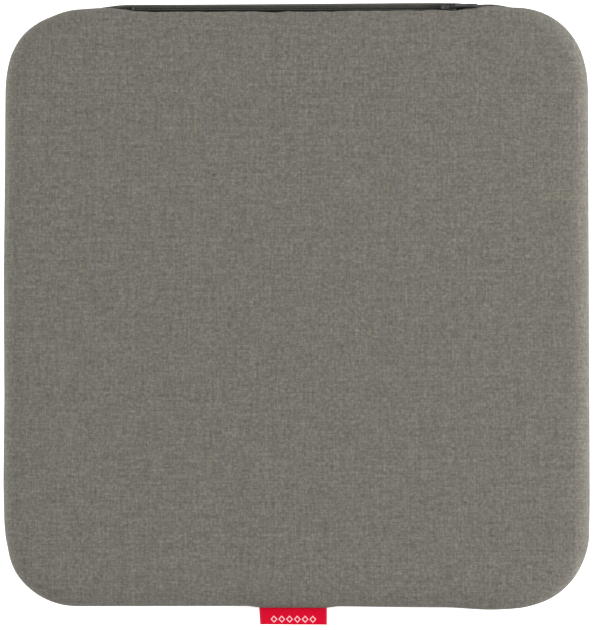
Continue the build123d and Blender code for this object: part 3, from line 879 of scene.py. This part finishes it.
def relax_cloth(piece, hold, slack, seed):
    """Lets the panel's cloth settle by simulation: held at its seam, with slack cloth gathered beside it.

    hold and slack are weights per vertex. The simulation runs at SIM_SCALE times the size, where the solver is
    steady."""
    mesh = piece.data
    start = read_points(mesh.vertices, "co")
    normals = read_points(mesh.vertices, "normal")
    unevenness = ripple(start[:, 0] / MM, seed, 9.7, 6.1) + ripple(start[:, 1] / MM, seed + 1, 8.3, 5.3)
    begun = start + normals * (unevenness * START_UNEVEN * MM * (1 - hold))[:, None]
    trial = mesh.copy()
    trial.vertices.foreach_set("co", (begun * SIM_SCALE).ravel())
    body = add_object(piece.name + "_trial", trial)
    for name, weights in (("hold", hold), ("slack", slack)):
        group = body.vertex_groups.new(name=name)
        levels = np.round(weights, 2)
        for level in np.unique(levels):
            if level > 0:
                group.add([int(i) for i in np.nonzero(levels == level)[0]], float(level), "REPLACE")
    modifier = body.modifiers.new("settle", "CLOTH")
    set_all(modifier.settings, **SIM_CLOTH)
    modifier.settings.effector_weights.gravity = 0.0
    modifier.collision_settings.use_collision = False
    set_all(modifier.point_cache, frame_start=1, frame_end=SIM_FRAMES)
    scene = bpy.context.scene
    for number in range(1, SIM_FRAMES + 1):
        scene.frame_set(number)
    settled = body.evaluated_get(bpy.context.evaluated_depsgraph_get()).to_mesh()
    move = read_points(settled.vertices, "co") / SIM_SCALE - start
    length = np.linalg.norm(move, axis=1)
    cap = SIM_CAP * MM
    move *= (cap * np.tanh(length / cap) / np.maximum(length, 1e-9))[:, None]
    mesh.vertices.foreach_set("co", (start + move).ravel())
    mesh.update()
    bpy.data.objects.remove(body)
    scene.frame_set(1)


def panel_weights(columns, rows, count, face_hold):
    """How firmly each vertex is held, and how much slack it has, from the panel's row order."""
    hold = np.full(count, face_hold)
    slack = np.zeros(count)
    for r in range(ROLL_ROWS):
        ring = slice(r * columns, (r + 1) * columns)
        near = r / ROLL_ROWS
        hold[ring] = face_hold * (1 - near) ** 2
        slack[ring] = near ** 1.5
    hold[ROLL_ROWS * columns:rows * columns] = 1.0
    slack[ROLL_ROWS * columns:rows * columns] = SEAM_SLACK
    return hold, slack


def make_panel(name, sections, face_z, material, flip, seed, face_hold):
    """A cover panel: drawn, relaxed by the cloth simulation, and given its thickness."""
    piece = panel_mesh(name, sections, face_z, material, flip)
    columns, rows = sections.shape[:2]
    hold, slack = panel_weights(columns, rows, len(piece.data.vertices), face_hold)
    relax_cloth(piece, hold, slack, seed)
    return thicken(piece, CLOTH, -1.0)


# ---------------------------------------------------------------- general shapes

def swept_tube(name, path, radius, material, resolution=1, closed=False):
    """A round tube through the points, as a mesh; a higher resolution makes it rounder."""
    curve = bpy.data.curves.new(name, "CURVE")
    set_all(curve, dimensions="3D", bevel_depth=radius * MM, bevel_resolution=resolution, use_fill_caps=True)
    spline = curve.splines.new("POLY")
    spline.points.add(len(path) - 1)
    for point, place in zip(spline.points, path):
        point.co = (*(Vector(place) * MM), 1.0)
    spline.use_cyclic_u = closed
    drawn = add_object(name, curve)
    mesh = evaluated_mesh(drawn)
    bpy.data.objects.remove(drawn)
    mesh.materials.clear()
    mesh.materials.append(material)
    mesh.shade_smooth()
    return add_object(name, mesh)


def rounded_path(points, times=2):
    """Cuts a path's corners, so that it bends smoothly."""
    points = [Vector(p) for p in points]
    for _ in range(times):
        cut = [points[0]]
        for a, b in zip(points, points[1:]):
            cut += [a * 0.75 + b * 0.25, a * 0.25 + b * 0.75]
        cut.append(points[-1])
        points = cut
    return points


def arc_points(centre_x, centre_y, radius, first, last, steps):
    """Points along an arc, from its first to its last angle in degrees."""
    angles = [math.radians(first + (last - first) * k / steps) for k in range(steps + 1)]
    return [(centre_x + radius * math.cos(a), centre_y + radius * math.sin(a)) for a in angles]


def capsule(start, end):
    """Points and faces of a short thread from start to end, with rounded tips."""
    start, end = Vector(start), Vector(end)
    way = (end - start).normalized()
    side = way.orthogonal().normalized()
    other = way.cross(side)
    rings = [(start, k, s) for k, s in THREAD_TIP]
    rings += [(end, -k, s) for k, s in reversed(THREAD_TIP)]
    points = []
    for centre, lift, size in rings:
        for i in range(THREAD_SIDES):
            angle = 2 * math.pi * i / THREAD_SIDES
            rim = (side * math.cos(angle) + other * math.sin(angle)) * THREAD_R * size
            points.append(centre + way * lift * THREAD_R + rim)
    return points, walls(len(rings), THREAD_SIDES) + caps(len(rings), THREAD_SIDES)


def thread_piece(name, stitches, material):
    """One object of many short threads; stitches are (start, end) pairs."""
    points, faces = [], []
    for start, end in stitches:
        more, shell = capsule(start, end)
        base = len(points)
        points += more
        faces += [tuple(base + i for i in face) for face in shell]
    return new_object(name, points, faces, material)


def zip_solid(name, x, points, faces, material):
    """A piece drawn in the zip's plane, (along, up, out), put in place at x."""
    return new_object(name, [zip_point(x + p[0], p[1], p[2]) for p in points], faces, material)


def zip_prism(name, x, outline, low, high, material):
    """A prism on an outline in the zip's plane, from low to high."""
    points = [(a, up, low) for a, up in outline] + [(a, up, high) for a, up in outline]
    return zip_solid(name, x, points, caps(2, len(outline)) + walls(2, len(outline)), material)


# ---------------------------------------------------------------- zip pieces

def tape_section(ups, inside):
    """A tape's (y, z) line, from the chain's edge into the cover."""
    flat = [zip_point(0, up, TAPE_OUT) for up in ups]
    return [(p.y, p.z) for p in flat] + [(BACK_Y - inwards, z) for inwards, z in inside]


def zip_tape(name, section, material):
    """A woven tape along the zip; section is its (y, z) line."""
    line = rounded_path([(0, y, z) for y, z in section])
    fine = [line[0]]
    for a, b in zip(line, line[1:]):
        steps = max(1, round((b - a).length / TAPE_ACROSS))
        fine += [a.lerp(b, (k + 1) / steps) for k in range(steps)]
    run = [0.0]
    for a, b in zip(fine, fine[1:]):
        run.append(run[-1] + (b - a).length)
    stations = np.arange(ZIP_LEFT + TAPE_END, ZIP_RIGHT - TAPE_END, TAPE_ALONG)
    inwards = (fine[0] - fine[1]).normalized()
    points, cloth = [], []
    for x in stations:
        beyond = x < COIL_START - TAPE_CLOSES[0] or x > COIL_END + TAPE_CLOSES[1]
        closing = TAPE_EDGE - TAPE_GAP if beyond else 0.0
        for k, p in enumerate(fine):
            lift = TAPE_WAVE * ripple(np.array(x), 3.0 + k * 0.02, 27, 17) * min(1.0, run[k] / TAPE_FREE)
            p = p + inwards * closing * max(0.0, 1 - run[k] / TAPE_FREE)
            points.append((x, p.y, p.z + float(lift)))
            cloth.append((x, run[k]))
    faces = turned_over(walls(len(stations), len(fine), closed=False))
    return thicken(new_object(name, points, faces, material, cloth), TAPE, 0.0)


def zip_coil(name, side, phase, material):
    """One side of the chain: monofilament wound in flat loops whose heads meet the other side's."""
    path = []
    x = COIL_START + COIL_IN + phase * PITCH
    while x < COIL_END - COIL_IN:
        apart = COIL_PART * float(smooth(SLIDER_X + COIL_PART_X[0], SLIDER_X + COIL_PART_X[1], x))
        spine = COIL_HALF - WIRE_R + apart
        for step, from_spine, across, out in COIL_LOOP:
            up = (spine if from_spine else apart) + across
            path.append(zip_point(x + step * PITCH, side * up, out * COIL_OUT))
        x += PITCH
    return swept_tube(name, rounded_path(path, 1), WIRE_R, material)


def coil_thread(name, side, material):
    """Chain stitch that binds a coil to its tape, dipping between the loops."""
    path = []
    x = COIL_START + BINDING_IN
    while x < SLIDER_X - 1.0:
        path += [zip_point(x + step * PITCH, side * BINDING_UP, out) for step, out in BINDING]
        x += PITCH
    return swept_tube(name, rounded_path(path, 1), BINDING_R, material, 0)


def slider_outline():
    """Plan of a slider plate: narrow behind, broad at the mouth, with round corners."""
    rear, front, r = SLIDER_REAR, SLIDER_FRONT, SLIDER_ROUND
    upper = arc_points(SLIDER_HALF - r, front - r, r, 0, 90, 5)
    upper += [(1.0, front - 0.02), (0.2, (front + rear) / 2 + 0.05), (-0.6, rear)]
    upper += arc_points(-SLIDER_HALF + r, rear - r, r, 90, 180, 5)
    return upper + [(x, -y) for x, y in reversed(upper)]


def zip_slider(material):
    """The slider: two plates, rails, divider post and the bridge that holds the tab."""
    parts = []
    for low in (PLATE_TOP - PLATE, PLATE_LOW):
        plate = zip_prism("plate", SLIDER_X, slider_outline(), low, low + PLATE, material)
        parts.append(bevelled(plate, PLATE_EDGE))
    for side in (1, -1):
        outline = [(x, side * y) for x, y in RAIL_PLAN]
        outline += [(x, side * (y - RAIL_WIDE)) for x, y in reversed(RAIL_PLAN)]
        if side > 0:
            outline.reverse()
        rail = zip_prism("rail", SLIDER_X, outline, RAIL_LOW, PLATE_TOP - SLIDER_SINK, material)
        parts.append(bevelled(rail, FINE_EDGE, 2))
    post = [(POST_X + POST_HALF_LONG * math.cos(a), POST_HALF_WIDE * math.sin(a))
            for a in np.linspace(0, 2 * math.pi, 20)[:-1]]
    parts.append(zip_prism("post", SLIDER_X, post, PLATE_LOW + SLIDER_SINK, PLATE_TOP - SLIDER_SINK, material))
    line = rounded_path(BRIDGE)
    points = []
    for k, p in enumerate(line):
        way = (line[min(len(line) - 1, k + 1)] - line[max(0, k - 1)]).normalized()
        lift = Vector((-way.z, 0, way.x))
        points += [p + Vector((0, y, 0)) + lift * z for y, z in BRIDGE_SECTION]
    size = len(BRIDGE_SECTION)
    faces = walls(len(line), size) + [face[::-1] for face in caps(len(line), size)]
    parts.append(zip_solid("bridge", SLIDER_X, points, faces, material))
    piece = joined("slider", parts)
    fix_normals(piece)
    return piece


def tab_place(line):
    """Puts (along, across) points of the tab in place."""
    return [zip_point(TAB_AXIS.x + x, y, TAB_AXIS_OUT) for x, y in line]


def pull_tab(material):
    """The tab: a bar through the bridge, two arms round the eye and a tongue with a rolled rim and a slot."""
    tip = arc_points(TAB_LONG - TAB_TIP_IN, 0, TAB_HALF - TAB_TIP_ROUND, -TAB_TIP_ANGLE, TAB_TIP_ANGLE, 9)
    outer = TAB_SIDE + tip + [(x, -y) for x, y in reversed(TAB_SIDE)]
    slot = arc_points(TAB_LONG - TAB_SLOT_FAR, 0, TAB_SLOT_R, -90, 90, 6)
    slot += arc_points(TAB_LONG - TAB_SLOT_NEAR, 0, TAB_SLOT_R, 90, 270, 6)
    rim = [p.xy for p in rounded_path([(x, y, 0) for x, y in outer])]
    slot_rim = [p.xy for p in rounded_path([(x, y, 0) for x, y in slot + slot[:1]], 1)[:-1]]
    bar = [(0, y) for y in np.linspace(-TAB_BAR_HALF, TAB_BAR_HALF, 5)]
    return joined("pull_tab", [
        tab_plate(outer + TAB_EYE, slot, material),
        swept_tube("rim", tab_place(rim), TAB_RIM_R, material, 2),
        swept_tube("slot_rim", tab_place(slot_rim), TAB_SLOT_RIM_R, material, closed=True),
        swept_tube("bar", tab_place(bar), TAB_RIM_R, material, 3),
    ])


def tab_plate(ring, hole, material):
    """The tongue's plate with its slot, filled by a constrained triangulation and given its thickness."""
    edges = [(i, (i + 1) % len(ring)) for i in range(len(ring))]
    edges += [(len(ring) + i, len(ring) + (i + 1) % len(hole)) for i in range(len(hole))]
    made = geometry.delaunay_2d_cdt([Vector(p) for p in ring + hole], edges, [], 1, 1e-6)
    points, faces = made[0], []
    for face in made[2]:
        centre = sum((points[k] for k in face), Vector((0, 0))) / len(face)
        if inside_loop(centre, ring) and not inside_loop(centre, hole):
            faces.append(tuple(face))
    plate = new_object("tongue", tab_place(points), faces, material)
    return bevelled(thicken(plate, TAB_THICK, 0.0), FINE_EDGE, 2)


def inside_loop(point, loop):
    """True if the point is inside the closed loop."""
    inside = False
    for (ax, ay), (bx, by) in zip(loop, loop[1:] + loop[:1]):
        if (ay > point.y) != (by > point.y):
            if point.x < (bx - ax) * (point.y - ay) / (by - ay) + ax:
                inside = not inside
    return inside


def clip(name, x, spans, material):
    """Metal stops: bent strips closed over the tape, one for each (low, high) span across the zip."""
    parts = []
    for low, high in spans:
        outline = [(-CLIP_HALF, low), (CLIP_HALF, low), (CLIP_HALF, high), (-CLIP_HALF, high)]
        for out_low, out_high, edge in CLIP_LAYERS:
            part = zip_prism("clip", x, outline, out_low, out_high, material)
            fix_normals(part)
            parts.append(bevelled(part, edge))
    return joined(name, parts)


def bar_tack(name, places, material):
    """Dense zigzag stitches across both tapes, at each place along the zip."""
    stitches = []
    for x in places:
        for k in range(TACK_STITCHES):
            up = -TACK_HALF_HIGH + k * TACK_STEP
            lean = TACK_LEAN if k % 2 else -TACK_LEAN
            stitches.append((zip_point(x - TACK_HALF_LONG, up + lean, TACK_OUT),
                             zip_point(x + TACK_HALF_LONG, up - lean, TACK_OUT)))
        for side in TACK_CORES:
            stitches.append((zip_point(x + side, -TACK_HALF_HIGH, TACK_CORE_OUT),
                             zip_point(x + side, TACK_HALF_HIGH, TACK_CORE_OUT)))
    return thread_piece(name, stitches, material)


# ---------------------------------------------------------------- tag, threads and insert

def ribbon_tag(material):
    """Folded ribbon: in from the seam, out to the fold, and back under itself."""
    tip, root = TAG_LOW.y + TAG_GAP, FRONT_Y + TAG_TAIL

    def ply(start, end, side):
        """One ply's (y, z) line."""
        line = []
        for y in np.linspace(start, end, TAG_ROWS):
            open_up = TAG_OPEN * float(smooth(FRONT_Y, TAG_LOW.y + 1.0, y)) + TAG_OPEN_ROOT
            line.append((y, side * (TAG_GAP * TAG_PLY_SHARE + open_up)))
        return line

    fold = [(tip - TAG_GAP * math.cos(math.radians(a)), TAG_GAP * math.sin(math.radians(a)))
            for a in np.linspace(80, -80, TAG_TIP_ROWS)]
    line = ply(root, tip, 1) + fold + ply(tip, root, -1)
    run = [0.0]
    for (ya, za), (yb, zb) in zip(line, line[1:]):
        run.append(run[-1] + math.hypot(yb - ya, zb - za))
    middle = run[len(run) // 2]
    points, cloth = [], []
    for x in np.linspace(TAG_LOW.x, TAG_HIGH.x, TAG_COLUMNS):
        across = (x - TAG_X) / TAG_HALF
        for k, (y, z) in enumerate(line):
            out = max(0.0, (FRONT_Y - y) / (FRONT_Y - TAG_LOW.y))
            lift = out ** 2 * (TAG_CUP * across ** 2 + TAG_TWIST * math.sin(across * 4.0 + 0.6))
            lean = TAG_LEAN * (1 - across) * out
            points.append((x + lean, y - TAG_SKEW * across * out, SEAM_Z + z + lift))
            cloth.append((x - TAG_X, run[k] - middle))
    faces = walls(TAG_COLUMNS, len(line), closed=False)
    return thicken(new_object("tag", points, faces, material, cloth), TAG_CLOTH, -1.0)


def seam_stitches(material):
    """Lock stitches of the seam, above and below the turned-in edges, with a gap at the zip."""
    ring = OUTLINE - NORMAL * SEAM_INSET
    gap = AT_BACK & (COLUMN_X > ZIP_LEFT) & (COLUMN_X < ZIP_RIGHT)
    stitches = []
    for i in range(0, len(ring) - SEAM_STRIDE, SEAM_STRIDE):
        if gap[i] or gap[i + SEAM_STRIDE]:
            continue
        a, b = ring[i], ring[i + SEAM_STRIDE]
        a, b = a * SEAM_REST + b * SEAM_SHORT, a * SEAM_SHORT + b * SEAM_REST
        for z in (SEAM_Z + SEAM_THREAD_Z, SEAM_Z - SEAM_THREAD_Z):
            stitches.append(((a[0], a[1], z), (b[0], b[1], z)))
    return thread_piece("seam_stitches", stitches, material)


def stitch_line(name, x_low, x_high, at, material):
    """A row of stitches along X; at gives the point at x."""
    stitches = []
    x = x_low
    while x < x_high:
        stitches.append((at(x), at(x + STITCH)))
        x += STITCH_PITCH
    return thread_piece(name, stitches, material)


def insert_inset(z, relief):
    """How far in from the outline an insert layer reaches at height z."""
    gap = INSERT_GAP + relief
    room, roll = (THICK - SEAM_Z, ROLL_TOP) if z > SEAM_Z else (SEAM_Z, ROLL_LOW)
    rise = abs(z - SEAM_Z) / (room - gap)
    return max(INSERT_EDGE, roll - (roll - gap) * math.sqrt(max(0.0, 1 - min(1.0, rise) ** 2)))


def insert_layer(name, node, material, seed):
    """One layer of the insert, with a soft cut edge, in the space of its CAD node."""
    low, high = (corner.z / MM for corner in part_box(node))
    thick = high - low
    edge = THICK_EDGE if thick > 1 else THIN_EDGE
    outline, normal = OUTLINE[::INSERT_STRIDE], NORMAL[::INSERT_STRIDE]
    relief = INSERT_RELIEF * (LIP_SHARE + LOWER_SHARE)[::INSERT_STRIDE].clip(0, 1)
    count = len(outline)
    points = []
    for share, back in edge:
        z = low + thick * share
        inset = np.array([insert_inset(z, r) + back * min(1.0, thick) for r in relief])
        wave = INSERT_UNEVEN * ripple(np.arange(count) * 6.0, seed + share, 31, 19, 11)
        ring = outline - normal * (inset + np.maximum(0.0, wave))[:, None]
        points += [(x, y, z) for x, y in ring]
    piece = new_object(name, points, walls(len(edge), count) + caps(len(edge), count), material)
    piece.data.set_sharp_from_angle(angle=math.radians(INSERT_SHARP_FROM))
    return piece


# ---------------------------------------------------------------- building the object

top_cloth = woven_material(
    "top_cloth", linear(60, 58, 54), linear(100.0, 97.0, 89.8), linear(134, 131, 123),
    pitch=0.42, heather=2.25, rough=0.86, fuzz=0.25,
)
base_cloth = woven_material(
    "base_cloth", linear(57, 56, 51), linear(85, 83, 77), linear(114, 112, 105),
    pitch=0.5, heather=2.0, rough=0.86, fuzz=0.25,
)
thread = thread_material("thread", linear(78, 76, 70), linear(128, 124, 116))
tape_thread = thread_material("tape_thread", linear(15, 14, 12), linear(30, 29, 25))
ribbon = ribbon_material()
tape = tape_material()
coil_plastic = plastic_material("zip_coil", linear(19, 18, 14), linear(28, 27, 21), 0.65)
metal = enamel_material("zip_metal", linear(30, 30, 29), linear(88, 86, 82))
# the stops' enamel is a darker copy of the slider's: painted shade, as if they lay in the shadow of the fold
stop_metal_painted_shade = enamel_material("stop_metal_painted_shade", linear(10, 10, 9), linear(30, 29, 26))
felt = felt_material("felt", linear(206, 200, 182), linear(232, 227, 212), 0.9)
scrim = felt_material("scrim", linear(222, 220, 212), linear(240, 238, 232), 2.0)
foil = foil_material()
foam = foam_material()


def place(piece, body, slot, *nodes):
    """Rides the piece on its body, in place of the CAD nodes it stands for."""
    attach(piece, body)
    if nodes:
        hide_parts(*nodes)


top = make_panel("top_cover", top_sections(), THICK, top_cloth, False, 1.0, 0.5)
place(top, "cover", "top_cloth", "top_panel")

base = make_panel("base_cover", bottom_sections(), 0.0, base_cloth, True, 5.0, 0.9)
place(base, "cover", "base_cloth", "bottom_panel")

for level, section in (("upper", TAPE_UPPER), ("lower", TAPE_LOWER)):
    piece = zip_tape("tape_" + level, tape_section(*section), tape)
    place(piece, "cover", "zip_textile", "zip_tape_" + level)
for level, side, phase in (("upper", 1, 0.0), ("lower", -1, 0.5)):
    place(zip_coil("coil_" + level, side, phase, coil_plastic), "cover", "zip_coil", "zip_coil_" + level)
for level, side in (("upper", 1), ("lower", -1)):
    place(coil_thread("coil_thread_" + level, side, tape_thread), "cover", "zip_textile")
place(zip_slider(metal), "slider", "zip_metal", "zip_slider")
place(pull_tab(metal), "pull_tab", "zip_metal", "zip_pull_tab")
for name, spans in STOP_SPANS.items():
    stop_x = sum(corner.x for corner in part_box("zip_" + name)) / 2 / MM
    place(clip(name, stop_x, spans, stop_metal_painted_shade), "cover", "zip_metal", "zip_" + name)
tacks = bar_tack("end_tacks", (ZIP_LEFT + TACK_IN, ZIP_RIGHT - TACK_IN), thread)
place(tacks, "cover", "thread", "zip_end_tacks")

tag = ribbon_tag(ribbon)
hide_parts("side_tag")
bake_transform(tag)

place(seam_stitches(thread), "cover", "thread", "seam_thread")
rows = [
    stitch_line("row", TAG_LOW.x + TAG_STITCH_ENDS[0], TAG_HIGH.x - TAG_STITCH_ENDS[1],
                lambda x, s=side: (x, FRONT_Y + TAG_STITCH_IN, SEAM_Z + s * TAG_STITCH_Z), thread)
    for side in (1, -1)
]
place(joined("tag_stitches_rows", rows), "cover", "thread", "tag_stitches")
for name, up in (("zip_stitches_upper", ZIP_STITCH_UP), ("zip_stitches_lower", -ZIP_STITCH_UP)):
    row = stitch_line(name + "_row", ZIP_LEFT + ZIP_STITCH_ENDS[0], ZIP_RIGHT - ZIP_STITCH_ENDS[1],
                      lambda x, u=up: zip_point(x, u, ZIP_STITCH_OUT), thread)
    place(row, "cover", "thread", name)

LAYERS = (("upper_felt", felt, "felt"), ("heat_foil", foil, "foil"), ("foam_core", foam, "foam"),
          ("lower_felt", felt, "felt"), ("base_scrim", scrim, "scrim"))
for number, (node, material, slot) in enumerate(LAYERS):
    layer = insert_layer(node + "_layer", node, material, 2.0 + number)
    place(layer, "cover", slot, node)


# ---------------------------------------------------------------- stage, light and camera; metres and watts

STAGE_HALF = 30.0
STAGE_DROP = 0.0002      # below the object, so that they don't share a plane
STAGE_GLOW = 0.5
WORLD_GLOW = 0.7
SOFTBOX_SIZE = 0.8
KEY_POWER, FILL_POWER = 50, 25
VIEW_TALL = 0.3285       # height of the picture, on the level of the seam
VIEW_DISTANCE = 1.4
SENSOR = 36


def softbox(name, place, power):
    """A square area light at place, aimed at the middle."""
    light = bpy.data.lights.new(name, "AREA")
    set_all(light, shape="SQUARE", size=SOFTBOX_SIZE, energy=power)
    lamp = add_object(name, light)
    lamp.location = place
    lamp.rotation_euler = (-Vector(place)).to_track_quat("-Z", "Y").to_euler()


stage_paint = Nodes("stage").fixed(
    Base_Color=(0.93, 0.93, 0.93, 1), Roughness=0.9, Specular_IOR_Level=0.1,
    Emission_Color=(1, 1, 1, 1), Emission_Strength=STAGE_GLOW,
)
reach = STAGE_HALF / MM
floor = new_object("floor", [(-reach, -reach, 0), (reach, -reach, 0), (reach, reach, 0), (-reach, reach, 0)],
                   [(0, 1, 2, 3)], stage_paint)
floor.location.z = -STAGE_DROP

world = bpy.data.worlds.new("studio")
world.use_nodes = True
world.node_tree.nodes["Background"].inputs["Color"].default_value = (1, 1, 1, 1)
world.node_tree.nodes["Background"].inputs["Strength"].default_value = WORLD_GLOW
bpy.context.scene.world = world
softbox("key", (1.5, 0.1, 0.55), KEY_POWER)
softbox("fill", (-1.45, 0.1, 0.5), FILL_POWER)

lens = bpy.data.cameras.new("camera")
set_all(lens, sensor_width=SENSOR, lens=SENSOR * VIEW_DISTANCE / VIEW_TALL, clip_end=100)
camera = add_object("camera", lens)
camera.location = (0.0001, -0.0043, SEAM_Z * MM + VIEW_DISTANCE)
bpy.context.scene.camera = camera
bpy.context.scene.view_settings.view_transform = "Standard"
